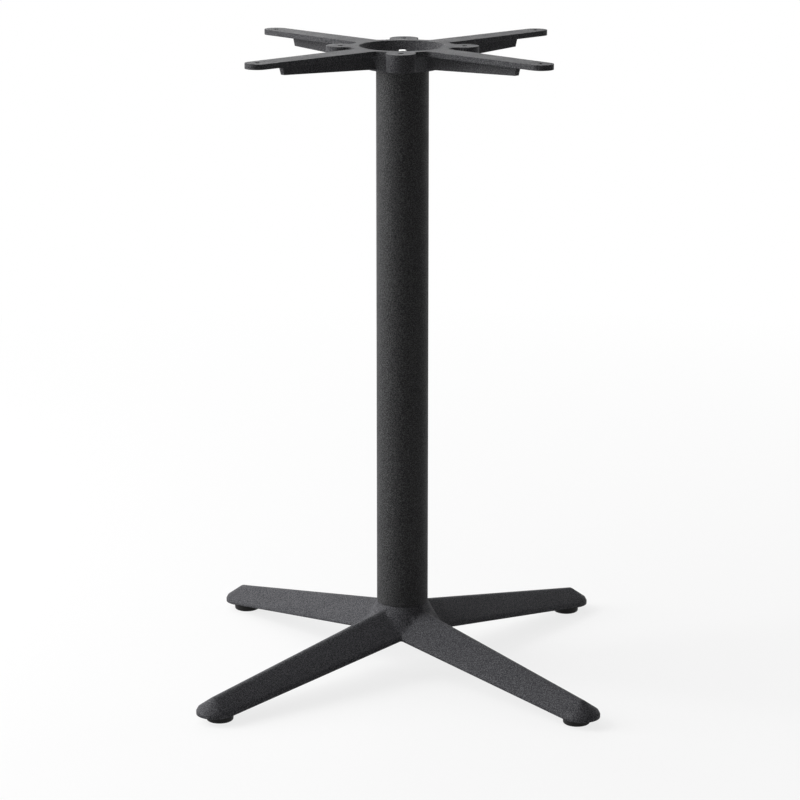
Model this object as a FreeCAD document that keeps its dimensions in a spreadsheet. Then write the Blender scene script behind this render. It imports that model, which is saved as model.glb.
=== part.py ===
import FreeCAD, Part
import math
import os

import Sketcher

# Pedestal base for a table: a hollow cast star with four roof-section legs, a tube column,
# a cast top spider that takes the table top, a tie rod that clamps the three together, and a
# levelling glide under each leg.
# The axis of the column is Z, the floor is z = 0, and the legs and arms lie on the diagonals.

# Driving dimensions, in millimetres and degrees
SIZES = {
    # Whole base
    "overall_height": 733.5,
    "column_diameter": 60,
    "column_wall": 2,
    "seam_height": 78,
    "edge_chamfer": 0.6,
    "spigot_height": 12,
    "spigot_clearance": 0.25,
    # Legs of the base star, from the column axis to the centre of the rounded nose
    "nose_radius": 289,
    "leg_root_width": 74.4,
    "leg_tip_width": 44,
    "leg_root_underside": 47.9,
    "leg_tip_underside": 9.2,
    "roof_pitch": 35.5,
    "rim_root_height": 4.4,
    "rim_tip_height": 5.7,
    "rim_bevel": 2.2,
    "ridge_round": 7,
    "casting_wall": 4.5,
    "leg_rib_thickness": 4,
    "leg_rib_recess": 6,
    "inner_rib_radius": 115,
    "outer_rib_radius": 200,
    # Hub of the base star
    "hub_flare_diameter": 92,
    "hub_flare_height": 49,
    "hub_boss_underside": 56,
    "valley_round": 6,
    "valley_inset": 0.2,
    # Levelling glides
    "foot_inset": 6,
    "foot_boss_diameter": 22,
    "glide_diameter": 30.5,
    "stud_diameter": 8,
    "stud_clearance": 0.15,
    "stud_bore_depth": 15,
    "stud_tip_gap": 0.5,
    "stud_head_across_flats": 13,
    "stud_head_base": 3.7,
    "stud_head_recess": 0.2,
    # Top spider
    "plate_thickness": 6,
    "arm_hole_radius": 216,
    "arm_tip_width": 28,
    "arm_root_width": 33,
    "screw_hole_diameter": 6.5,
    "ring_diameter": 118,
    "lug_radius": 70,
    "lug_diameter": 33,
    "lug_depth": 20,
    "notch_round": 7,
    "bowl_diameter": 98,
    "bowl_floor_diameter": 72,
    "bowl_depth": 18,
    "cup_diameter": 108,
    "cup_bottom_diameter": 83,
    "cup_depth": 25.3,
    "arm_rib_thickness": 6,
    "arm_rib_end_radius": 184,
    "arm_rib_end_slant": 4,
    "arm_rib_end_depth": 16.4,
    "arm_rib_hub_depth": 24.8,
    # Tie rod and its fasteners
    "rod_diameter": 10,
    "rod_hole_diameter": 11,
    "rod_overhang": 2.5,
    "rod_chamfer": 1,
    "washer_diameter": 30,
    "washer_thickness": 2.5,
    "nut_across_flats": 17,
    "nut_height": 8,
    "thread_clearance": 0.1,
}

LEG_COUNT = 4
FIRST_LEG_ANGLE = 45
# The feet in turn round the column, from the first leg on
FEET = ("back_right", "back_left", "front_left", "front_right")
# The lugs of the spider stand half-way between its arms
LUG_ANGLE = 180 / LEG_COUNT
# Degrees from one corner of a hexagon to the next
HEXAGON_STEP = 60
# Places closer than this, in millimetres, count as the same place
SAME_PLACE = 0.001

doc = FreeCAD.newDocument("table_base")
sheet = doc.addObject("Spreadsheet::Sheet", "size")
for row, (alias, number) in enumerate(SIZES.items(), start=1):
    sheet.set(f"A{row}", alias.replace("_", " "))
    sheet.set(f"B{row}", str(number))
    sheet.setAlias(f"B{row}", alias)
doc.recompute()

# Heights, radii and slopes that several pieces share, as expressions of the driving dimensions
COLUMN_RADIUS = "size.column_diameter / 2"
SPIGOT_RADIUS = "(size.column_diameter / 2 - size.column_wall - size.spigot_clearance)"
LEG_TAPER = "((size.leg_root_width - size.leg_tip_width) / 2 / size.nose_radius)"
LEG_SLOPE = "((size.leg_root_underside - size.leg_tip_underside) / size.nose_radius)"
CUP_UNDERSIDE = "(size.overall_height - size.cup_depth)"
BOWL_FLOOR = "(size.overall_height - size.bowl_depth)"
FOOT_RADIUS = "(size.nose_radius - size.foot_inset)"
FOOT_SEAT = "size.leg_tip_underside"
STUD_TOP = f"({FOOT_SEAT} + size.stud_bore_depth - size.stud_tip_gap)"
ROD_BOTTOM = "(size.hub_boss_underside - size.washer_thickness - size.nut_height - size.rod_overhang)"
TOP_NUT_SEAT = f"({BOWL_FLOOR} + size.washer_thickness)"
ROD_TOP = f"({TOP_NUT_SEAT} + size.nut_height + size.rod_overhang)"


def value(expression):
    """The number that an expression of the sheet comes to now."""
    return float(sheet.evalExpression(expression))


# Drawing helpers


def origin_feature(body, role):
    """One of the body's own base planes or axes."""
    return next(part for part in body.Origin.OriginFeatures if part.Role == role)


def new_body(label):
    body = doc.addObject("PartDesign::Body", label)
    body.Label = label
    return body


def sketch_on(body, name, role, offset="0"):
    """An empty sketch on a base plane of the body, moved along the plane's normal."""
    sketch = body.newObject("Sketcher::SketchObject", name)
    sketch.AttachmentSupport = [(origin_feature(body, role), "")]
    sketch.MapMode = "FlatFace"
    sketch.setExpression("AttachmentOffset.Base.z", offset)
    return sketch


def bind(sketch, constraint, expression):
    """Add a constraint with a size and tie that size to the sheet."""
    index = sketch.addConstraint(constraint)
    sketch.setExpression(f"Constraints[{index}]", expression)


def place_point(sketch, geometry, end, x, y):
    """Fix one point of the sketch at (x, y)."""
    vertical_axis, horizontal_axis = -2, -1
    for kind, expression, axis in (("DistanceX", x, vertical_axis), ("DistanceY", y, horizontal_axis)):
        if expression == "0":
            sketch.addConstraint(Sketcher.Constraint("PointOnObject", geometry, end, axis))
        else:
            rule = Sketcher.Constraint(kind, -1, 1, geometry, end, value(expression))
            bind(sketch, rule, expression)


def corner_round(before, corner, after, radius):
    """Where a round of this radius leaves the first edge and joins the second, and its centre."""
    back = (before - corner).normalize()
    ahead = (after - corner).normalize()
    half_angle = back.getAngle(ahead) / 2
    reach = radius / math.tan(half_angle)
    centre = corner + (back + ahead).normalize() * (radius / math.sin(half_angle))
    return corner + back * reach, corner + ahead * reach, centre


def arc_between(start, end, centre, turns_left):
    """The arc from start to end; a left turn runs anticlockwise."""
    radius = (start - centre).Length
    full = Part.Circle(centre, FreeCAD.Vector(0, 0, 1), radius)
    first, last = (start, end) if turns_left else (end, start)
    return Part.ArcOfCircle(full, full.parameter(first), full.parameter(last))


def outline(sketch, corners):
    """Close a loop, anticlockwise, through corners given as expressions.

    A corner is (x, y), or (x, y, radius) where it is rounded, or (x, y, None, radius) where the
    edge to the next corner is an arc that bulges outwards.
    """
    count = len(corners)
    points = [FreeCAD.Vector(value(corner[0]), value(corner[1]), 0) for corner in corners]
    arrive = list(points)
    leave = list(points)
    rounds = {}
    for i, corner in enumerate(corners):
        if len(corner) == 3:
            before, after = points[i - 1], points[(i + 1) % count]
            arrive[i], leave[i], centre = corner_round(before, points[i], after, value(corner[2]))
            left = (points[i] - before).cross(after - points[i]).z > 0
            rounds[i] = (sketch.addGeometry(arc_between(arrive[i], leave[i], centre, left)), left)
    edges = []
    for i, corner in enumerate(corners):
        start, end = leave[i], arrive[(i + 1) % count]
        if len(corner) == 4:
            radius = value(corner[3])
            chord = end - start
            left_normal = FreeCAD.Vector(-chord.y, chord.x, 0).normalize()
            depth = math.sqrt(radius**2 - chord.Length**2 / 4)
            arc = arc_between(start, end, (start + end) / 2 + left_normal * depth, True)
            edges.append(sketch.addGeometry(arc))
            bind(sketch, Sketcher.Constraint("Radius", edges[i], radius), corner[3])
        else:
            edges.append(sketch.addGeometry(Part.LineSegment(start, end)))
    for i, corner in enumerate(corners):
        x, y = corner[:2]
        before, after = edges[i - 1], edges[i]
        if i in rounds:
            arc, left = rounds[i]
            first, last = (1, 2) if left else (2, 1)
            tip = sketch.addGeometry(Part.Point(points[i]), True)
            sketch.addConstraint(Sketcher.Constraint("Tangent", before, 2, arc, first))
            sketch.addConstraint(Sketcher.Constraint("Tangent", arc, last, after, 1))
            sketch.addConstraint(Sketcher.Constraint("PointOnObject", tip, 1, before))
            sketch.addConstraint(Sketcher.Constraint("PointOnObject", tip, 1, after))
            bind(sketch, Sketcher.Constraint("Radius", arc, value(corner[2])), corner[2])
            place_point(sketch, tip, 1, x, y)
        else:
            sketch.addConstraint(Sketcher.Constraint("Coincident", before, 2, after, 1))
            place_point(sketch, after, 1, x, y)


def circle(sketch, diameter, x="0", y="0"):
    """A full circle centred at (x, y)."""
    centre = FreeCAD.Vector(value(x), value(y), 0)
    shape = Part.Circle(centre, FreeCAD.Vector(0, 0, 1), value(diameter) / 2)
    geometry = sketch.addGeometry(shape)
    bind(sketch, Sketcher.Constraint("Diameter", geometry, value(diameter)), diameter)
    place_point(sketch, geometry, 3, x, y)


def hexagon(sketch, across_flats):
    """A regular hexagon round the centre of the sketch."""
    first_corner = HEXAGON_STEP // 2
    reach = f"({across_flats}) / 2 / cos({first_corner})"
    corners = []
    for angle in range(first_corner, 360, HEXAGON_STEP):
        corners.append((f"{reach} * cos({angle})", f"{reach} * sin({angle})"))
    outline(sketch, corners)


# Feature helpers


def finish_feature(body, feature):
    doc.recompute()
    body.Tip = feature
    return feature


def revolve(body, kind, name, sketch, axis="V_Axis"):
    """Turn a sketch once round one of its axes, or round the first construction line in it."""
    feature = body.newObject(kind, name)
    feature.Profile = sketch
    feature.ReferenceAxis = (sketch, [axis])
    feature.Angle = 360
    return finish_feature(body, feature)


def pad(body, name, sketch, length, downwards=False, both_ways=False):
    feature = body.newObject("PartDesign::Pad", name)
    feature.Profile = sketch
    feature.setExpression("Length", length)
    feature.Reversed = downwards
    feature.Midplane = both_ways
    return finish_feature(body, feature)


def lead_along(feature, direction):
    """Let a pad or pocket run along a slanted direction; its length still counts along the normal."""
    feature.UseCustomVector = True
    feature.AlongSketchNormal = True
    for axis, expression in zip("xyz", direction):
        feature.setExpression(f"Direction.{axis}", expression)
    doc.recompute()


def pocket_through(body, name, sketch):
    """Cut a sketch right through the body, to both sides of its plane."""
    feature = body.newObject("PartDesign::Pocket", name)
    feature.Profile = sketch
    feature.Type = "ThroughAll"
    feature.Midplane = True
    return finish_feature(body, feature)


def pocket_ahead(body, name, sketch, depth):
    """Cut a sketch from its plane towards the side that the plane faces."""
    feature = body.newObject("PartDesign::Pocket", name)
    feature.Profile = sketch
    feature.setExpression("Length", depth)
    feature.Reversed = True
    return finish_feature(body, feature)


def round_the_axis(body, name, features=()):
    """Repeat features, or all of the body so far, four times round the column axis."""
    pattern = body.newObject("PartDesign::PolarPattern", name)
    if features:
        pattern.Originals = features
    else:
        pattern.TransformMode = "Whole shape"
    pattern.Axis = (origin_feature(body, "Z_Axis"), [""])
    pattern.Angle = 360
    pattern.Occurrences = LEG_COUNT
    return finish_feature(body, pattern)


def dress_edges(body, kind, name, chosen, expression):
    """Fillet or chamfer the edges of the body's last feature that the test chosen accepts."""
    base = body.Tip
    names = [f"Edge{i}" for i, edge in enumerate(base.Shape.Edges, start=1) if chosen(edge)]
    feature = body.newObject(kind, name)
    feature.Base = (base, names)
    feature.setExpression("Radius" if kind.endswith("Fillet") else "Size", expression)
    return finish_feature(body, feature)


def is_upright(edge):
    """A straight vertical edge."""
    if edge.Degenerated:
        return False
    first, last = edge.Vertexes[0].Point, edge.Vertexes[-1].Point
    straight = edge.Curve.TypeId == "Part::GeomLine"
    return straight and math.hypot(last.x - first.x, last.y - first.y) < SAME_PLACE


def axis_distance(point):
    return math.hypot(point.x, point.y)


def turn_to_first_leg(body):
    """Turn a piece drawn with one leg or arm along X onto the diagonals."""
    body.Placement = FreeCAD.Placement(
        FreeCAD.Vector(), FreeCAD.Rotation(FreeCAD.Vector(0, 0, 1), FIRST_LEG_ANGLE)
    )


# Base star


def roof_lines(end, wall):
    """Half width, eaves height and apex height of a leg's root or tip, drawn a wall inside its skin."""
    half = f"(size.leg_{end}_width / 2 - {wall})"
    skin_eaves = f"size.leg_{end}_underside + size.rim_{end}_height"
    apex = f"({skin_eaves} + size.leg_{end}_width / 2 * tan(size.roof_pitch) - {wall} / cos(size.roof_pitch))"
    eaves = f"({apex} - {half} * tan(size.roof_pitch))"
    return half, eaves, apex


def eaves_corners(half, eaves, soft_edges):
    """The edge between rim and roof: two corners where it is bevelled, or one where it is sharp."""
    if not soft_edges:
        return [(half, eaves)]
    roof_x = f"({half} - size.rim_bevel * cos(size.roof_pitch))"
    roof_y = f"{eaves} + size.rim_bevel * sin(size.roof_pitch)"
    return [(half, f"{eaves} - size.rim_bevel"), (roof_x, roof_y)]


def nose_section(sketch, wall, below, soft_edges):
    """Half of the leg's end section, to be turned about the upright line at the nose centre."""
    centre = "size.nose_radius"
    half, eaves, apex = roof_lines("tip", wall)
    foot = f"(size.leg_tip_underside - {below})"
    corners = [(centre, foot), (f"{centre} + {half}", foot)]
    for x, y in eaves_corners(half, eaves, soft_edges):
        corners.append((f"{centre} + {x}", y))
    if soft_edges:
        ridge_centre = f"({apex} - size.ridge_round / cos(size.roof_pitch))"
        round_start_x = f"{centre} + size.ridge_round * sin(size.roof_pitch)"
        round_start_y = f"{ridge_centre} + size.ridge_round * cos(size.roof_pitch)"
        corners.append((round_start_x, round_start_y, None, "size.ridge_round"))
        corners.append((centre, f"{ridge_centre} + size.ridge_round"))
    else:
        corners.append((centre, apex))
    outline(sketch, corners)
    # The line that the nose turns about
    start = FreeCAD.Vector(value(centre), 0, 0)
    end = FreeCAD.Vector(value(centre), value(apex), 0)
    axis = sketch.addGeometry(Part.LineSegment(start, end), True)
    place_point(sketch, axis, 1, centre, "0")
    place_point(sketch, axis, 2, centre, apex)


def leg_form(body, prefix, wall, below, soft_edges):
    """One leg along X, from the column axis to its rounded nose.

    It is drawn a wall thickness inside the skin of the casting and reaches below the rims.
    The roof is one section led along the ridge, so its slopes are true planes; the underside and
    the tapering sides are then cut from it.
    """
    root_half, root_eaves, root_apex = roof_lines("root", wall)
    tip_half, tip_eaves, tip_apex = roof_lines("tip", wall)
    root_foot, tip_foot = f"(size.leg_root_underside - {below})", f"(size.leg_tip_underside - {below})"
    length = "size.nose_radius"
    roof = sketch_on(body, f"{prefix}_roof_section", "YZ_Plane")
    ridge = ("0", root_apex, "size.ridge_round") if soft_edges else ("0", root_apex)
    corners = [
        (f"-{root_half}", "0"),
        (root_half, "0"),
        (root_half, root_eaves),
        ridge,
        (f"-{root_half}", root_eaves),
    ]
    outline(roof, corners)
    lead_along(pad(body, f"{prefix}_roof", roof, length), (length, "0", f"{tip_apex} - {root_apex}"))
    side = sketch_on(body, f"{prefix}_underside_outline", "XZ_Plane")
    low = f"-{root_apex}"
    outline(side, [("0", low), (length, low), (length, tip_foot), ("0", root_foot)])
    pocket_through(body, f"{prefix}_underside", side)
    taper = sketch_on(body, f"{prefix}_taper_outline", "XY_Plane")
    wide = f"2 * {root_half}"
    outline(taper, [("0", root_half), (length, tip_half), (length, wide), ("0", wide)])
    mirrored = [("0", f"-{wide}"), (length, f"-{wide}"), (length, f"-{tip_half}"), ("0", f"-{root_half}")]
    outline(taper, mirrored)
    pocket_through(body, f"{prefix}_taper", taper)
    if soft_edges:
        for hand, sign in (("left", ""), ("right", "-")):
            bevel = sketch_on(body, f"{prefix}_{hand}_bevel_outline", "YZ_Plane")
            beside = (wide, f"{root_eaves} + size.rim_bevel * sin(size.roof_pitch)")
            corners = [*eaves_corners(root_half, root_eaves, soft_edges), beside]
            outline(bevel, [(f"{sign}{x}", y) for x, y in corners])
            cut = pocket_ahead(body, f"{prefix}_{hand}_bevel", bevel, length)
            inwards = f"{sign}({tip_half} - {root_half})"
            lead_along(cut, (length, inwards, f"{tip_eaves} - {root_eaves}"))
    nose = sketch_on(body, f"{prefix}_nose_section", "XZ_Plane")
    nose_section(nose, wall, below, soft_edges)
    revolve(body, "PartDesign::Revolution", f"{prefix}_nose", nose, "Axis0")


def valley_round(body):
    """Rounds the inner corner where the rims of two neighbouring legs meet beside the hub."""
    corner = f"(size.leg_root_width / 2 / (1 + {LEG_TAPER}) - size.valley_inset)"
    reach = f"({corner} + 2 * size.valley_round)"
    beside = f"({corner} - 2 * size.valley_round * {LEG_TAPER})"
    back = f"({corner} - size.casting_wall)"
    plan = sketch_on(body, "valley_plan", "XY_Plane", f"size.leg_root_underside - {corner} * {LEG_SLOPE}")
    corners = [
        (back, back),
        (reach, back),
        (reach, beside),
        (corner, corner, "size.valley_round"),
        (beside, reach),
        (back, reach),
    ]
    outline(plan, corners)
    return pad(body, "valley_round", plan, "size.rim_root_height - size.rim_bevel")


def make_leg_core():
    """The core that leaves the star hollow; its slots and holes leave ribs and bosses standing."""
    core = new_body("leg_core")
    leg_form(core, "core", "size.casting_wall", "size.casting_wall", soft_edges=False)
    boss = sketch_on(core, "foot_boss_space_outline", "XY_Plane")
    circle(boss, "size.foot_boss_diameter", FOOT_RADIUS)
    pocket_through(core, "foot_boss_space", boss)
    ribs = sketch_on(core, "leg_rib_outlines", "XZ_Plane")
    for radius in ("size.inner_rib_radius", "size.outer_rib_radius"):
        lower = f"size.leg_root_underside - {radius} * {LEG_SLOPE} + size.leg_rib_recess"
        corners = [
            (f"{radius} - size.leg_rib_thickness / 2", lower),
            (f"{radius} + size.leg_rib_thickness / 2", lower),
            (f"{radius} + size.leg_rib_thickness / 2", "size.seam_height"),
            (f"{radius} - size.leg_rib_thickness / 2", "size.seam_height"),
        ]
        outline(ribs, corners)
    pocket_through(core, "leg_rib_slots", ribs)
    round_the_axis(core, "four_cores")
    hub = sketch_on(core, "hub_boss_outline", "XY_Plane", "size.hub_boss_underside")
    circle(hub, f"2 * {SPIGOT_RADIUS}")
    pocket_ahead(core, "hub_boss_space", hub, "size.seam_height")
    return core


def make_base_star():
    """The star casting: four legs and a flared hub, hollowed by the core, then drilled."""
    core = make_leg_core()
    star = new_body("base_star")
    leg_form(star, "outer", "0", "0", soft_edges=True)
    round_the_axis(star, "four_legs")
    hub = sketch_on(star, "hub_section", "XZ_Plane")
    spigot_top = "size.seam_height + size.spigot_height"
    corners = [
        ("0", "size.hub_flare_height"),
        ("size.hub_flare_diameter / 2", "size.hub_flare_height"),
        (COLUMN_RADIUS, "size.seam_height - size.edge_chamfer"),
        (f"{COLUMN_RADIUS} - size.edge_chamfer", "size.seam_height"),
        (SPIGOT_RADIUS, "size.seam_height"),
        (SPIGOT_RADIUS, spigot_top),
        ("0", spigot_top),
    ]
    outline(hub, corners)
    revolve(star, "PartDesign::Revolution", "hub", hub)
    round_the_axis(star, "four_valley_rounds", [valley_round(star)])
    hollow = star.newObject("PartDesign::Boolean", "hollow")
    hollow.Type = "Cut"
    hollow.setObjects([core])
    finish_feature(star, hollow)
    bore = sketch_on(star, "rod_bore_outline", "XY_Plane")
    circle(bore, "size.rod_hole_diameter")
    pocket_through(star, "rod_bore", bore)
    # The leg slopes above the foot, so a short pad makes the boss level where the glide bears
    face = sketch_on(star, "foot_boss_face_outline", "XY_Plane", FOOT_SEAT)
    circle(face, "size.foot_boss_diameter", FOOT_RADIUS)
    face_height = f"{LEG_SLOPE} * (size.foot_inset + size.foot_boss_diameter)"
    seats = [pad(star, "foot_boss_face", face, face_height)]
    tapped = sketch_on(star, "stud_bore_outline", "XY_Plane", FOOT_SEAT)
    circle(tapped, "size.stud_diameter + 2 * size.stud_clearance", FOOT_RADIUS)
    seats.append(pocket_ahead(star, "stud_bore", tapped, "size.stud_bore_depth"))
    round_the_axis(star, "four_foot_seats", seats)
    turn_to_first_leg(star)
    return star


# Column tube


def make_column():
    column = new_body("column")
    section = sketch_on(column, "tube_section", "XY_Plane", "size.seam_height")
    circle(section, "size.column_diameter")
    circle(section, "size.column_diameter - 2 * size.column_wall")
    pad(column, "tube", section, f"{CUP_UNDERSIDE} - size.seam_height")

    def is_outer_end(edge):
        box = edge.BoundBox
        return box.ZLength < SAME_PLACE and box.XLength > value("size.column_diameter") - SAME_PLACE

    dress_edges(column, "PartDesign::Chamfer", "end_chamfers", is_outer_end, "size.edge_chamfer")
    return column


# Top spider


def make_top_spider():
    """The top casting, drawn with its flat top face at z = 0 and one arm along X."""
    spider = new_body("top_spider")
    ring = sketch_on(spider, "ring_outline", "XY_Plane")
    circle(ring, "size.ring_diameter")
    pad(spider, "ring", ring, "size.plate_thickness", downwards=True)
    bar = sketch_on(spider, "arm_outline", "XY_Plane")
    corners = [
        ("0", "-size.arm_root_width / 2"),
        ("size.arm_hole_radius", "-size.arm_tip_width / 2"),
        ("size.arm_hole_radius", "size.arm_tip_width / 2"),
        ("0", "size.arm_root_width / 2"),
    ]
    outline(bar, corners)
    arm = pad(spider, "arm", bar, "size.plate_thickness", downwards=True)
    tip = sketch_on(spider, "arm_end_outline", "XY_Plane")
    circle(tip, "size.arm_tip_width", "size.arm_hole_radius")
    arm_end = pad(spider, "arm_end", tip, "size.plate_thickness", downwards=True)
    lug_place = (f"size.lug_radius * cos({LUG_ANGLE})", f"size.lug_radius * sin({LUG_ANGLE})")
    lug_plan = sketch_on(spider, "lug_outline", "XY_Plane")
    circle(lug_plan, "size.lug_diameter", *lug_place)
    lug = pad(spider, "lug", lug_plan, "size.plate_thickness", downwards=True)
    round_the_axis(spider, "four_arms_and_lugs", [arm, arm_end, lug])

    def is_notch(edge):
        return is_upright(edge) and axis_distance(edge.Vertexes[0].Point) < value("size.lug_radius")

    dress_edges(spider, "PartDesign::Fillet", "notch_rounds", is_notch, "size.notch_round")

    # The cup, ribs and bosses start inside the plate, half-way down
    plate_middle = "-size.plate_thickness / 2"
    cup = sketch_on(spider, "cup_section", "XZ_Plane")
    spigot_end = "-size.cup_depth - size.spigot_height"
    corners = [
        ("0", spigot_end),
        (SPIGOT_RADIUS, spigot_end),
        (SPIGOT_RADIUS, "-size.cup_depth"),
        ("size.cup_bottom_diameter / 2", "-size.cup_depth"),
        ("size.cup_diameter / 2", plate_middle),
        ("0", plate_middle),
    ]
    outline(cup, corners)
    revolve(spider, "PartDesign::Revolution", "cup", cup)
    rib_side = sketch_on(spider, "arm_rib_outline", "XZ_Plane")
    corners = [
        ("0", "-size.arm_rib_hub_depth"),
        ("size.arm_rib_end_radius - size.arm_rib_end_slant", "-size.arm_rib_end_depth"),
        ("size.arm_rib_end_radius", plate_middle),
        ("0", plate_middle),
    ]
    outline(rib_side, corners)
    rib = pad(spider, "arm_rib", rib_side, "size.arm_rib_thickness", both_ways=True)
    boss_plan = sketch_on(spider, "lug_boss_outline", "XY_Plane", plate_middle)
    circle(boss_plan, "size.lug_diameter", *lug_place)
    boss = pad(spider, "lug_boss", boss_plan, f"size.lug_depth + {plate_middle}", downwards=True)
    round_the_axis(spider, "four_ribs_and_bosses", [rib, boss])
    bowl = sketch_on(spider, "bowl_section", "XZ_Plane")
    corners = [
        ("0", "-size.bowl_depth"),
        ("size.bowl_floor_diameter / 2", "-size.bowl_depth"),
        ("size.bowl_diameter / 2", "0"),
        ("0", "0"),
    ]
    outline(bowl, corners)
    revolve(spider, "PartDesign::Groove", "bowl", bowl)
    holes = sketch_on(spider, "screw_hole_outlines", "XY_Plane")
    circle(holes, "size.screw_hole_diameter", "size.arm_hole_radius")
    circle(holes, "size.screw_hole_diameter", *lug_place)
    drilled = pocket_through(spider, "screw_holes", holes)
    round_the_axis(spider, "four_screw_hole_pairs", [drilled])
    bore = sketch_on(spider, "spider_bore_outline", "XY_Plane")
    circle(bore, "size.rod_hole_diameter")
    pocket_through(spider, "spider_bore", bore)
    turn_to_first_leg(spider)
    spider.setExpression("Placement.Base.z", "size.overall_height")
    return spider


# Tie rod and its fasteners


def make_tie_rod():
    rod = new_body("tie_rod")
    section = sketch_on(rod, "rod_section", "XY_Plane", ROD_BOTTOM)
    circle(section, "size.rod_diameter")
    pad(rod, "rod", section, f"{ROD_TOP} - {ROD_BOTTOM}")

    def is_rod_end(edge):
        return edge.BoundBox.ZLength < SAME_PLACE

    dress_edges(rod, "PartDesign::Chamfer", "rod_end_chamfers", is_rod_end, "size.rod_chamfer")
    return rod


def make_washer(label, underside):
    washer = new_body(label)
    plan = sketch_on(washer, f"{label}_plan", "XY_Plane", underside)
    circle(plan, "size.washer_diameter")
    circle(plan, "size.rod_hole_diameter")
    pad(washer, f"{label}_disc", plan, "size.washer_thickness")
    return washer


def make_nut(label, underside):
    nut = new_body(label)
    plan = sketch_on(nut, f"{label}_plan", "XY_Plane", underside)
    hexagon(plan, "size.nut_across_flats")
    circle(plan, "size.rod_diameter + 2 * size.thread_clearance")
    pad(nut, f"{label}_prism", plan, "size.nut_height")
    return nut


# Levelling glides


def stand_at_foot(body, angle):
    """Move a piece drawn on its own axis to the foot at this angle round the column."""
    body.setExpression("Placement.Base.x", f"{FOOT_RADIUS} * cos({angle})")
    body.setExpression("Placement.Base.y", f"{FOOT_RADIUS} * sin({angle})")


def make_glide(place, angle):
    """A round plastic foot with a hexagon socket for the head of its stud."""
    label = f"glide_{place}"
    glide = new_body(label)
    section = sketch_on(glide, f"{label}_section", "XZ_Plane")
    corners = [
        ("0", "0"),
        ("size.glide_diameter / 2", "0"),
        ("size.glide_diameter / 2", FOOT_SEAT),
        ("0", FOOT_SEAT),
    ]
    outline(section, corners)
    revolve(glide, "PartDesign::Revolution", f"{label}_foot", section)
    socket = sketch_on(glide, f"{label}_socket_outline", "XY_Plane", "size.stud_head_base")
    hexagon(socket, "size.stud_head_across_flats + 2 * size.thread_clearance")
    pocket_ahead(glide, f"{label}_socket", socket, FOOT_SEAT)
    stand_at_foot(glide, angle)
    return glide


def make_stud(place, angle):
    """The steel stud of a glide, with the hexagon head that is pressed into the glide's socket."""
    label = f"stud_{place}"
    stud = new_body(label)
    head = sketch_on(stud, f"{label}_head_outline", "XY_Plane", "size.stud_head_base")
    hexagon(head, "size.stud_head_across_flats")
    pad(stud, f"{label}_head", head, f"{FOOT_SEAT} - size.stud_head_recess - size.stud_head_base")
    shank = sketch_on(stud, f"{label}_shank_outline", "XY_Plane", "size.stud_head_base")
    circle(shank, "size.stud_diameter")
    pad(stud, f"{label}_shank", shank, f"{STUD_TOP} - size.stud_head_base")
    stand_at_foot(stud, angle)
    return stud


def make_pieces():
    pieces = [make_base_star(), make_column(), make_top_spider(), make_tie_rod()]
    pieces.append(make_washer("bottom_washer", "size.hub_boss_underside - size.washer_thickness"))
    pieces.append(make_nut("bottom_nut", f"({ROD_BOTTOM} + size.rod_overhang)"))
    pieces.append(make_washer("top_washer", BOWL_FLOOR))
    pieces.append(make_nut("top_nut", TOP_NUT_SEAT))
    for turn, place in enumerate(FEET):
        angle = FIRST_LEG_ANGLE + turn * 360 / LEG_COUNT
        pieces.append(make_glide(place, angle))
        pieces.append(make_stud(place, angle))
    return pieces


def check_and_write(pieces):
    """Stop on any failed object or unsound solid, then write one file for each piece."""
    doc.recompute()
    for thing in doc.Objects:
        if "Invalid" in thing.State or "Error" in thing.State:
            raise RuntimeError(f"{thing.Label} failed: {thing.State}")
    for piece in pieces:
        if piece.Shape.isNull() or not piece.Shape.isValid() or len(piece.Shape.Solids) != 1:
            raise RuntimeError(f"{piece.Label} is not one sound solid")
    os.makedirs("parts", exist_ok=True)
    for piece in pieces:
        piece.Shape.exportStep(f"parts/{piece.Label}.step")
        print(f"{piece.Label}: {piece.Shape.Volume / 1000:.1f} cm3")


check_and_write(make_pieces())
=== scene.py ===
import math

import bmesh
import bpy
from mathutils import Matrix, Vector


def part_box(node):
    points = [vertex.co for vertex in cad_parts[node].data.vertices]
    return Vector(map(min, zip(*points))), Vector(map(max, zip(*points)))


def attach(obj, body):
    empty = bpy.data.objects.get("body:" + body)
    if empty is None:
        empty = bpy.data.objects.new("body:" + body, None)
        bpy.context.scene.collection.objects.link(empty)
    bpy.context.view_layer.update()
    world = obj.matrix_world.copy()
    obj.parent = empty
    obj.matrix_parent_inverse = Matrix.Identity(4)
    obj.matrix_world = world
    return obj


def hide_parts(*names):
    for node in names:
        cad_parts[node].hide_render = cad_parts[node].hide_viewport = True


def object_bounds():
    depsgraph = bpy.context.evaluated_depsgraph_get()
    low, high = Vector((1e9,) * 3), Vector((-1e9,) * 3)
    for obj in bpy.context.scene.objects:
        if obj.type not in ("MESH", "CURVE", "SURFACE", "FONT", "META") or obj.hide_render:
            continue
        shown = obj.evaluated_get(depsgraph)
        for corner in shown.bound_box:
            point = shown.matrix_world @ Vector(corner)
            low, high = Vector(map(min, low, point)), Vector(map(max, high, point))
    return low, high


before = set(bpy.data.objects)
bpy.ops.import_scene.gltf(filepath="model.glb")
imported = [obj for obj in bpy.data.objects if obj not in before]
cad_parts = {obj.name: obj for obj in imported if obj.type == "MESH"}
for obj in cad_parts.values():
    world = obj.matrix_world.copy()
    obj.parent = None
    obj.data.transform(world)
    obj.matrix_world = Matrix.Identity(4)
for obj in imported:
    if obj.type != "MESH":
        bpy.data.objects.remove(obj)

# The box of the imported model, kept before anything is added
packed_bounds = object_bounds()

MM = 0.001
FEET = ("front_left", "front_right", "back_right", "back_left")

# Points in every ring of a skinned piece: a multiple of twelve, so that hexagons get their corners
RING_POINTS = 72
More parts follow.
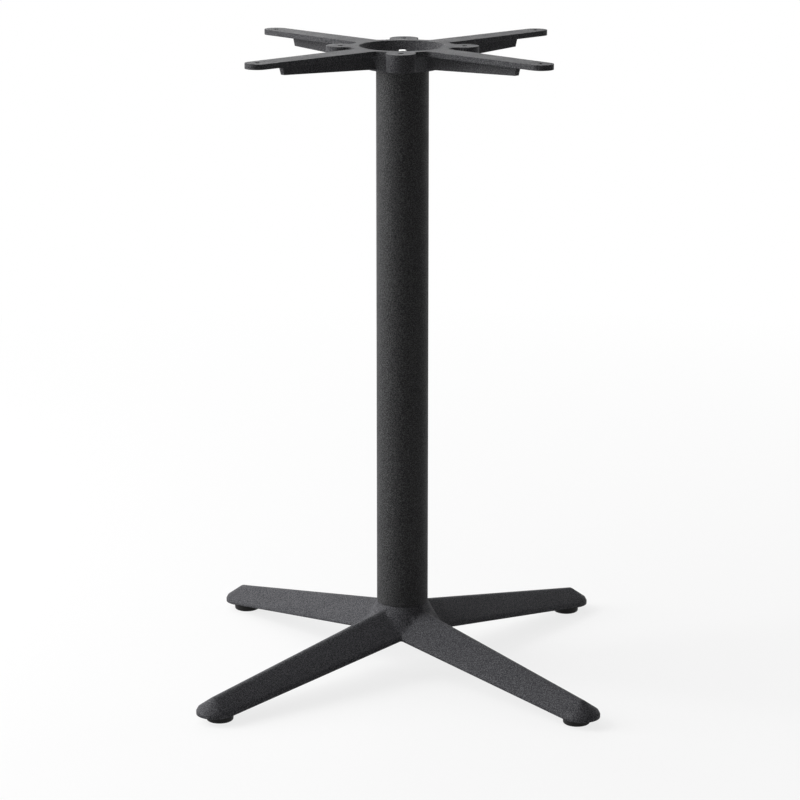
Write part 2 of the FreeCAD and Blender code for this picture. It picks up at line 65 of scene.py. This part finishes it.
# Rings to one turn of a screw thread
RINGS_PER_PITCH = 6
HEXAGON_SIDES = 6
# Slope of the turned bevel on the corners of a nut or a bolt head
HEXAGON_BEVEL = math.tan(math.radians(30))
# Width of the flat end face of a nut or a bolt head, as a share of the width across its flats
HEXAGON_FACE = 0.97
# Play between a thread or a head and the hole that it sits in
CLEARANCE = 0.1 * MM
# Points of a mesh that lie closer than this are one point
SAME_POINT = 0.01 * MM
# The part of a noise's range over which a gloss or a tone changes
NOISE_LOW, NOISE_HIGH = 0.3, 0.7


# Materials


def grey(level, blue=1.0):
    """A grey colour, with more or less blue in it."""
    return (level, level, level * blue, 1.0)


WHITE = grey(1.0)


def new_material(name):
    """A material with nodes, and its surface shader."""
    material = bpy.data.materials.new(name)
    material.use_nodes = True
    return material, material.node_tree.nodes["Principled BSDF"]


def set_inputs(node, inputs):
    for socket, number in inputs.items():
        node.inputs[socket].default_value = number


def add_node(owner, kind, inputs=None, **settings):
    """A node in a material or world, with some of its sockets and settings filled in."""
    node = owner.node_tree.nodes.new(kind)
    for key, setting in settings.items():
        setattr(node, key, setting)
    set_inputs(node, inputs or {})
    return node


def link(owner, source, output, target, socket):
    owner.node_tree.links.new(source.outputs[output], target.inputs[socket])


def noise(material, scale, detail=2.0):
    """A noise in the piece's own coordinates, in features per metre."""
    place = add_node(material, "ShaderNodeTexCoord")
    grain = add_node(material, "ShaderNodeTexNoise", {"Scale": scale, "Detail": detail})
    link(material, place, "Object", grain, "Vector")
    return grain


def ramp(material, source, stops):
    """Two colours over a 0 to 1 value; each stop is (position, colour)."""
    node = add_node(material, "ShaderNodeValToRGB")
    for element, (position, colour) in zip(node.color_ramp.elements, stops):
        element.position = position
        element.color = colour
    link(material, source, "Fac", node, "Fac")
    return node


def vary_gloss(material, shader, roughness, spread, scale):
    """Let the roughness wander a little to either side of its value."""
    stops = [(NOISE_LOW, grey(roughness - spread)), (NOISE_HIGH, grey(roughness + spread))]
    gloss = ramp(material, noise(material, scale), stops)
    link(material, gloss, "Color", shader, "Roughness")


def powder_coat(name, dark, light, roughness, texture_height, edge_radius):
    """Fine-textured charcoal powder coat with pale flecks and softened edges."""
    fleck_scale, texture_scale, sheen_scale = 950.0, 1000.0, 45.0
    dark_below, light_above = 0.42, 0.64
    material, shader = new_material(name)
    flecks = noise(material, fleck_scale, detail=4.0)
    colour = ramp(material, flecks, [(dark_below, dark), (light_above, light)])
    link(material, colour, "Color", shader, "Base Color")
    vary_gloss(material, shader, roughness, spread=0.04, scale=sheen_scale)
    soft_edge = add_node(material, "ShaderNodeBevel", {"Radius": edge_radius}, samples=6)
    texture = add_node(material, "ShaderNodeBump", {"Strength": 0.6, "Distance": texture_height})
    link(material, noise(material, texture_scale, detail=4.0), "Fac", texture, "Height")
    link(material, soft_edge, "Normal", texture, "Normal")
    link(material, texture, "Normal", shader, "Normal")
    set_inputs(shader, {"Specular IOR Level": 0.07})
    return material


def grained_material(name, low_colour, high_colour, grain_scale, detail, roughness, sheen_scale, relief):
    """A material whose colour and slight relief follow one noise; returned with its shader."""
    low_below, high_above = 0.3, 0.75
    material, shader = new_material(name)
    grain = noise(material, grain_scale, detail)
    colour = ramp(material, grain, [(low_below, low_colour), (high_above, high_colour)])
    link(material, colour, "Color", shader, "Base Color")
    vary_gloss(material, shader, roughness, spread=0.06, scale=sheen_scale)
    texture = add_node(material, "ShaderNodeBump", relief)
    link(material, grain, "Fac", texture, "Height")
    link(material, texture, "Normal", shader, "Normal")
    return material, shader


def zinc_plate():
    """Bright zinc on steel, with the faint blotches of plating."""
    material, shader = grained_material(
        "zinc_plate",
        low_colour=(0.44, 0.44, 0.42, 1.0),
        high_colour=(0.56, 0.57, 0.58, 1.0),
        grain_scale=220.0,
        detail=4.0,
        roughness=0.36,
        sheen_scale=600.0,
        relief={"Strength": 0.2, "Distance": 0.03 * MM},
    )
    set_inputs(shader, {"Metallic": 1.0})
    return material


def black_nylon():
    """Moulded matt plastic with a fine grain."""
    material, shader = grained_material(
        "black_nylon",
        low_colour=grey(0.006),
        high_colour=grey(0.014),
        grain_scale=1900.0,
        detail=3.0,
        roughness=0.58,
        sheen_scale=300.0,
        relief={"Strength": 0.3, "Distance": 0.04 * MM},
    )
    set_inputs(shader, {"Specular IOR Level": 0.2})
    return material


STAR_COAT = powder_coat(
    "star_coat",
    dark=grey(0.024, blue=1.15),
    light=grey(0.116, blue=1.06),
    roughness=0.58,
    texture_height=0.16 * MM,
    edge_radius=3.5 * MM,
)
SPIDER_COAT = powder_coat(
    "spider_coat",
    dark=grey(0.026, blue=1.12),
    light=grey(0.1, blue=1.04),
    roughness=0.6,
    texture_height=0.16 * MM,
    edge_radius=1.0 * MM,
)
TUBE_COAT = powder_coat(
    "tube_coat",
    dark=grey(0.02, blue=1.04),
    light=grey(0.08, blue=1.02),
    roughness=0.56,
    texture_height=0.12 * MM,
    edge_radius=0.4 * MM,
)
ZINC = zinc_plate()
NYLON = black_nylon()


def dress(piece, material):
    piece.data.materials.clear()
    piece.data.materials.append(material)


DRESSED_NODES = {
    "top_spider": SPIDER_COAT,
    "column": TUBE_COAT,
    "bottom_washer": ZINC,
    "top_washer": ZINC,
}
for node, material in DRESSED_NODES.items():
    dress(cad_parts[node], material)


# Rings and skins


def node_box(node):
    """Lower corner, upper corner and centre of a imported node."""
    low, high = (Vector(corner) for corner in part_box(node))
    return low, high, (low + high) / 2


def ring(centre, height, reach_at):
    """A level ring of points; reach_at gives the radius at a turn from 0 to 1."""
    points = []
    for i in range(RING_POINTS):
        turn = i / RING_POINTS
        angle = 2 * math.pi * turn
        reach = reach_at(turn)
        points.append((centre.x + reach * math.cos(angle), centre.y + reach * math.sin(angle), height))
    return points


def round_ring(centre, height, radius):
    return ring(centre, height, lambda turn: radius)


def hexagon_ring(centre, height, across_flats, limit=math.inf):
    """A hexagon with one flat towards +X, turned down to a limit."""

    def reach_at(turn):
        sides_off_flat = (HEXAGON_SIDES * turn + 0.5) % 1.0 - 0.5
        angle_off_flat = sides_off_flat * 2 * math.pi / HEXAGON_SIDES
        return min(across_flats / 2 / math.cos(angle_off_flat), limit)

    return ring(centre, height, reach_at)


def hexagon_rings(centre, across_flats, bottom, top, bevelled_ends):
    """A hexagon prism whose corners are turned down towards the bevelled end faces."""
    rows = 14
    face_radius = HEXAGON_FACE * across_flats / 2
    rings = []
    for row in range(rows + 1):
        height = bottom + (top - bottom) * row / rows
        from_end = min(abs(height - end) for end in bevelled_ends)
        rings.append(hexagon_ring(centre, height, across_flats, face_radius + from_end / HEXAGON_BEVEL))
    return rings


def thread_ring(centre, height, radius, depth, pitch, crest_share):
    """One ring of a screw thread, whose crest stands up by a share of the thread's depth."""

    def reach_at(turn):
        phase = (height / pitch - turn) % 1.0
        crest = abs(2 * phase - 1)
        return radius - depth * (1 - crest_share * crest)

    return ring(centre, height, reach_at)


def thread_rings(centre, radius, depth, pitch, bottom, top):
    """A screw thread that runs out within one pitch of either end."""
    count = math.ceil((top - bottom) / pitch * RINGS_PER_PITCH)
    rings = []
    for row in range(count + 1):
        height = bottom + (top - bottom) * row / count
        crest_share = min(1.0, (height - bottom) / pitch, (top - height) / pitch)
        rings.append(thread_ring(centre, height, radius, depth, pitch, crest_share))
    return rings


def link_object(name, data):
    """A new object in the scene that shows a mesh, a light or a camera."""
    item = bpy.data.objects.new(name, data)
    bpy.context.scene.collection.objects.link(item)
    return item


def new_object(name, mesh):
    """An object of its own from a mesh that is no longer edited."""
    data = bpy.data.meshes.new(name)
    mesh.to_mesh(data)
    mesh.free()
    return link_object(name, data)


def place_piece(piece, material, body):
    dress(piece, material)
    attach(piece, body)


def make_piece(name, rings, material, body, joined=False):
    """Skin a row of rings, close it at its ends or join the last ring to the first, and place it."""
    sharp_angle = math.radians(32)
    mesh = bmesh.new()
    rows = [[mesh.verts.new(point) for point in points] for points in rings]
    pairs = list(zip(rows, rows[1:]))
    if joined:
        pairs.append((rows[-1], rows[0]))
    else:
        mesh.faces.new(reversed(rows[0]))
        mesh.faces.new(rows[-1])
    for lower, upper in pairs:
        for i in range(RING_POINTS):
            after = (i + 1) % RING_POINTS
            mesh.faces.new((lower[i], lower[after], upper[after], upper[i]))
    bmesh.ops.recalc_face_normals(mesh, faces=mesh.faces)
    piece = new_object(name, mesh)
    piece.data.shade_smooth()
    piece.data.set_sharp_from_angle(angle=sharp_angle)
    place_piece(piece, material, body)
    return piece


# The star casting with bevelled eaves, in place of the solid, whose eaves are sharp


def bake_modifiers(piece):
    """Turn what a piece's modifiers show into its own mesh."""
    shown = piece.evaluated_get(bpy.context.evaluated_depsgraph_get())
    piece.data = bpy.data.meshes.new_from_object(shown)
    piece.modifiers.clear()


def find_eaves(mesh):
    """The long edges between the roofs of the legs and their upright sides."""
    least_angle, least_length = math.radians(40), 100 * MM
    # Faces whose normals point lower than this look down
    level_limit = -0.05
    eaves = []
    for edge in mesh.edges:
        looks_down = any(face.normal.z < level_limit for face in edge.link_faces)
        is_sharp = edge.is_convex and edge.calc_face_angle() > least_angle
        if is_sharp and not looks_down and edge.calc_length() > least_length:
            eaves.append(edge)
    return eaves


def add_wedge(cutter, eave):
    """A wedge that takes the corner off one eave, from the mitre beside the hub to the nose."""
    bevel, overlap = 2.2 * MM, 0.2 * MM
    inner, outer = sorted((vert.co for vert in eave.verts), key=lambda point: point.xy.length)
    along = (outer - inner).normalized()
    leg = Vector((math.copysign(1.0, outer.x), math.copysign(1.0, outer.y), 0.0)).normalized()
    mitre = Vector((inner.y, -inner.x, 0.0)).normalized()
    roof = max(eave.link_faces, key=lambda face: face.normal.z)
    uphill = roof.normal.cross(leg).normalized()
    up = uphill * math.copysign(bevel, uphill.z)
    down = Vector((0.0, 0.0, -bevel))
    ends, mitred = [], []
    for corner in (up, down, -(up + down)):
        point = outer + corner
        ends.append(cutter.verts.new(point + along * overlap))
        mitred.append(cutter.verts.new(point - along * point.dot(mitre) / along.dot(mitre)))
    cutter.faces.new(ends)
    for i in range(len(ends)):
        after = (i + 1) % len(ends)
        cutter.faces.new((ends[i], ends[after], mitred[after], mitred[i]))


def clear_slivers(data):
    """Take out the faces without area, and the loose edges, that a cut leaves behind."""
    mesh = bmesh.new()
    mesh.from_mesh(data)
    bmesh.ops.dissolve_degenerate(mesh, dist=SAME_POINT, edges=mesh.edges)
    loose = [edge for edge in mesh.edges if not edge.link_faces]
    bmesh.ops.delete(mesh, geom=loose, context="EDGES")
    bmesh.ops.triangulate(mesh, faces=mesh.faces)
    mesh.to_mesh(data)
    mesh.free()


def make_bevelled_star():
    """A copy of the casting, its eaves bevelled in line with the bevel round each nose."""
    sharp_angle = math.radians(20)
    mesh, cutter = bmesh.new(), bmesh.new()
    mesh.from_mesh(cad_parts["base_star"].data)
    bmesh.ops.remove_doubles(mesh, verts=mesh.verts, dist=SAME_POINT)
    for eave in find_eaves(mesh):
        add_wedge(cutter, eave)
    bmesh.ops.remove_doubles(cutter, verts=cutter.verts, dist=SAME_POINT)
    bmesh.ops.recalc_face_normals(cutter, faces=cutter.faces)
    star, knife = new_object("bevelled_base_star", mesh), new_object("eave_knife", cutter)
    cut = star.modifiers.new("eaves", "BOOLEAN")
    cut.operation = "DIFFERENCE"
    cut.solver = "EXACT"
    cut.object = knife
    bake_modifiers(star)
    bpy.data.objects.remove(knife)
    clear_slivers(star.data)
    star.data.shade_smooth()
    star.data.set_sharp_from_angle(angle=sharp_angle)
    star.modifiers.new("flat_roofs", "WEIGHTED_NORMAL").keep_sharp = True
    bake_modifiers(star)
    place_piece(star, STAR_COAT, "frame")
    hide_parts("base_star")


make_bevelled_star()


# Threaded rod, nuts, studs and moulded glides in place of their plain stand-ins


def make_tie_rod():
    """A rod with a thread at each end and a rolled shank between."""
    thread_length, run_out = 32 * MM, 1 * MM
    thread = {"depth": 0.85 * MM, "pitch": 1.5 * MM}
    low, high, centre = node_box("tie_rod")
    radius = (high.x - low.x) / 2
    shank_radius = radius - thread["depth"] / 2
    lower_end, upper_end = low.z + thread_length, high.z - thread_length
    rings = thread_rings(centre, radius, bottom=low.z, top=lower_end, **thread)
    rings.append(round_ring(centre, lower_end + run_out, shank_radius))
    rings.append(round_ring(centre, upper_end - run_out, shank_radius))
    rings.extend(thread_rings(centre, radius, bottom=upper_end, top=high.z, **thread))
    rod = make_piece("threaded_tie_rod", rings, ZINC, "frame")
    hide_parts("tie_rod")


def make_nut(node):
    """A nut with turned corners and a bevelled hole."""
    hole_bevel = 0.5 * MM
    rod_low, rod_high, _ = node_box("tie_rod")
    low, high, centre = node_box(node)
    hole_radius = (rod_high.x - rod_low.x) / 2 + CLEARANCE
    rings = hexagon_rings(centre, high.x - low.x, low.z, high.z, bevelled_ends=(low.z, high.z))
    rings.append(round_ring(centre, high.z, hole_radius + hole_bevel))
    rings.append(round_ring(centre, high.z - hole_bevel, hole_radius))
    rings.append(round_ring(centre, low.z + hole_bevel, hole_radius))
    rings.append(round_ring(centre, low.z, hole_radius + hole_bevel))
    nut = make_piece(f"bevelled_{node}", rings, ZINC, "frame", joined=True)
    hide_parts(node)


def make_stud(place):
    """A threaded stud standing on its hexagon head."""
    head_recess = 0.2 * MM
    thread = {"radius": 4 * MM, "depth": 0.7 * MM, "pitch": 1.25 * MM}
    node = f"stud_{place}"
    low, high, centre = node_box(node)
    glide_top = node_box(f"glide_{place}")[1].z
    head_top = glide_top - head_recess
    rings = hexagon_rings(centre, high.x - low.x, low.z, head_top, bevelled_ends=(head_top,))
    rings.extend(thread_rings(centre, bottom=head_top, top=high.z, **thread))
    stud = make_piece(f"threaded_{node}", rings, ZINC, f"foot_{place}")
    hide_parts(node)


def rounded_edge(centre, radius, face_height, size, way):
    """Rings from a flat end face round its edge to the wall; way is 1 to go up from the face, -1 down."""
    steps = 6
    rings = []
    for i in range(steps + 1):
        turn = math.pi / 2 * i / steps
        height = face_height + way * size * (1 - math.cos(turn))
        rings.append(round_ring(centre, height, radius - size * (1 - math.sin(turn))))
    return rings


def make_glide(place):
    """A moulded glide with a rounded sole, and a socket for the head of its stud."""
    sole_round, top_round = 2.2 * MM, 0.9 * MM
    node = f"glide_{place}"
    low, high, centre = node_box(node)
    stud_low, stud_high, _ = node_box(f"stud_{place}")
    radius = (high.x - low.x) / 2
    socket_width = stud_high.x - stud_low.x + 2 * CLEARANCE
    rings = rounded_edge(centre, radius, low.z, sole_round, way=1)
    rings.extend(reversed(rounded_edge(centre, radius, high.z, top_round, way=-1)))
    rings.append(hexagon_ring(centre, high.z, socket_width))
    rings.append(hexagon_ring(centre, stud_low.z, socket_width))
    glide = make_piece(f"moulded_{node}", rings, NYLON, f"foot_{place}")
    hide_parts(node)


make_tie_rod()
make_nut("bottom_nut")
make_nut("top_nut")
for place in FEET:
    make_stud(place)
    make_glide(place)


# Stage


def seen_rays(owner):
    """1 for what the camera sees, straight or by gloss or glass, and 0 for the light on the object."""
    path = add_node(owner, "ShaderNodeLightPath")
    seen = add_node(owner, "ShaderNodeMath", operation="MAXIMUM")
    link(owner, path, "Is Camera Ray", seen, 0)
    link(owner, path, "Is Glossy Ray", seen, 1)
    seen_at_all = add_node(owner, "ShaderNodeMath", operation="MAXIMUM")
    link(owner, seen, "Value", seen_at_all, 0)
    link(owner, path, "Is Transmission Ray", seen_at_all, 1)
    return seen_at_all


def white_share(material, fade_distance):
    """How far the floor shows as plain white: all of it far away, most of it near the object."""
    near, share_near = 0.8, 0.8
    place = add_node(material, "ShaderNodeTexCoord")
    shrink = add_node(material, "ShaderNodeMapping", {"Scale": [1 / fade_distance] * 3})
    link(material, place, "Object", shrink, "Vector")
    nearness = add_node(material, "ShaderNodeTexGradient", gradient_type="SPHERICAL")
    link(material, shrink, "Vector", nearness, "Vector")
    share = ramp(material, nearness, [(0.0, WHITE), (near, grey(share_near))])
    white = add_node(material, "ShaderNodeMath", operation="MULTIPLY")
    link(material, seen_rays(material), "Value", white, 0)
    link(material, share, "Color", white, 1)
    return white


def make_floor():
    """A pale floor that fades to white away from the object and keeps the object's shadow."""
    half_size, fade_distance, tone_scale = 500.0, 2.0, 0.6
    darker, lighter = grey(0.78), grey(0.8)
    drop = 0.05 * MM
    mesh = bmesh.new()
    bmesh.ops.create_grid(mesh, x_segments=1, y_segments=1, size=half_size)
    floor = new_object("floor", mesh)
    floor.location.z = packed_bounds[0][2] - drop
    material, shader = new_material("pale_floor")
    tone = ramp(material, noise(material, tone_scale), [(NOISE_LOW, darker), (NOISE_HIGH, lighter)])
    link(material, tone, "Color", shader, "Base Color")
    set_inputs(shader, {"Roughness": 0.9})
    glow = add_node(material, "ShaderNodeEmission", {"Color": WHITE, "Strength": 1.0})
    blend = add_node(material, "ShaderNodeMixShader")
    link(material, white_share(material, fade_distance), "Value", blend, "Fac")
    link(material, shader, "BSDF", blend, 1)
    link(material, glow, "Emission", blend, 2)
    link(material, blend, "Shader", material.node_tree.nodes["Material Output"], "Surface")
    dress(floor, material)


def make_world():
    """A world that shows as white above the horizon and gives the object only a little light."""
    fill_light = 0.03
    world = bpy.data.worlds.new("studio")
    world.use_nodes = True
    span = {1: 1.0 - fill_light, 2: fill_light}
    strength = add_node(world, "ShaderNodeMath", span, operation="MULTIPLY_ADD")
    link(world, seen_rays(world), "Value", strength, 0)
    background = world.node_tree.nodes["Background"]
    set_inputs(background, {"Color": WHITE})
    link(world, strength, "Value", background, "Strength")
    bpy.context.scene.world = world


def make_lamp(name, place, target, size, watts):
    """A soft oblong lamp aimed at a point."""
    data = bpy.data.lights.new(name, "AREA")
    data.shape = "RECTANGLE"
    data.size, data.size_y = size
    data.energy = watts
    lamp = link_object(name, data)
    lamp.location = place
    aim = Vector(target) - Vector(place)
    lamp.rotation_euler = aim.to_track_quat("-Z", "Y").to_euler()


def make_camera():
    """The viewpoint of the photograph, found by fitting the outline."""
    distance, height = 3.2698, 1.1425
    orbit, look_down, yaw = math.radians(1.4), 0.24604, 0.00086
    data = bpy.data.cameras.new("camera")
    data.sensor_width = 36.0
    data.lens = 130.5
    camera = link_object("camera", data)
    camera.location = (distance * math.sin(orbit), -distance * math.cos(orbit), height)
    camera.rotation_euler = (math.pi / 2 - look_down, 0.0, orbit + yaw)
    bpy.context.scene.camera = camera


LOW_TARGET, HIGH_TARGET = (0.0, 0.0, 0.4), (0.0, 0.0, 0.7)

make_floor()
make_world()
make_lamp("key_left", place=(-2.5, 0.05, 1.55), target=LOW_TARGET, size=(1.7, 2.5), watts=125)
make_lamp("back_panel", place=(-0.9, 2.5, 1.8), target=HIGH_TARGET, size=(2.4, 1.4), watts=30)
make_lamp("top_soft", place=(-0.5, 0.2, 3.2), target=LOW_TARGET, size=(1.6, 1.6), watts=14)
make_lamp("rim_right", place=(2.0, 1.6, 1.0), target=LOW_TARGET, size=(0.4, 1.8), watts=5)
make_camera()
bpy.context.scene.view_settings.view_transform = "Standard"
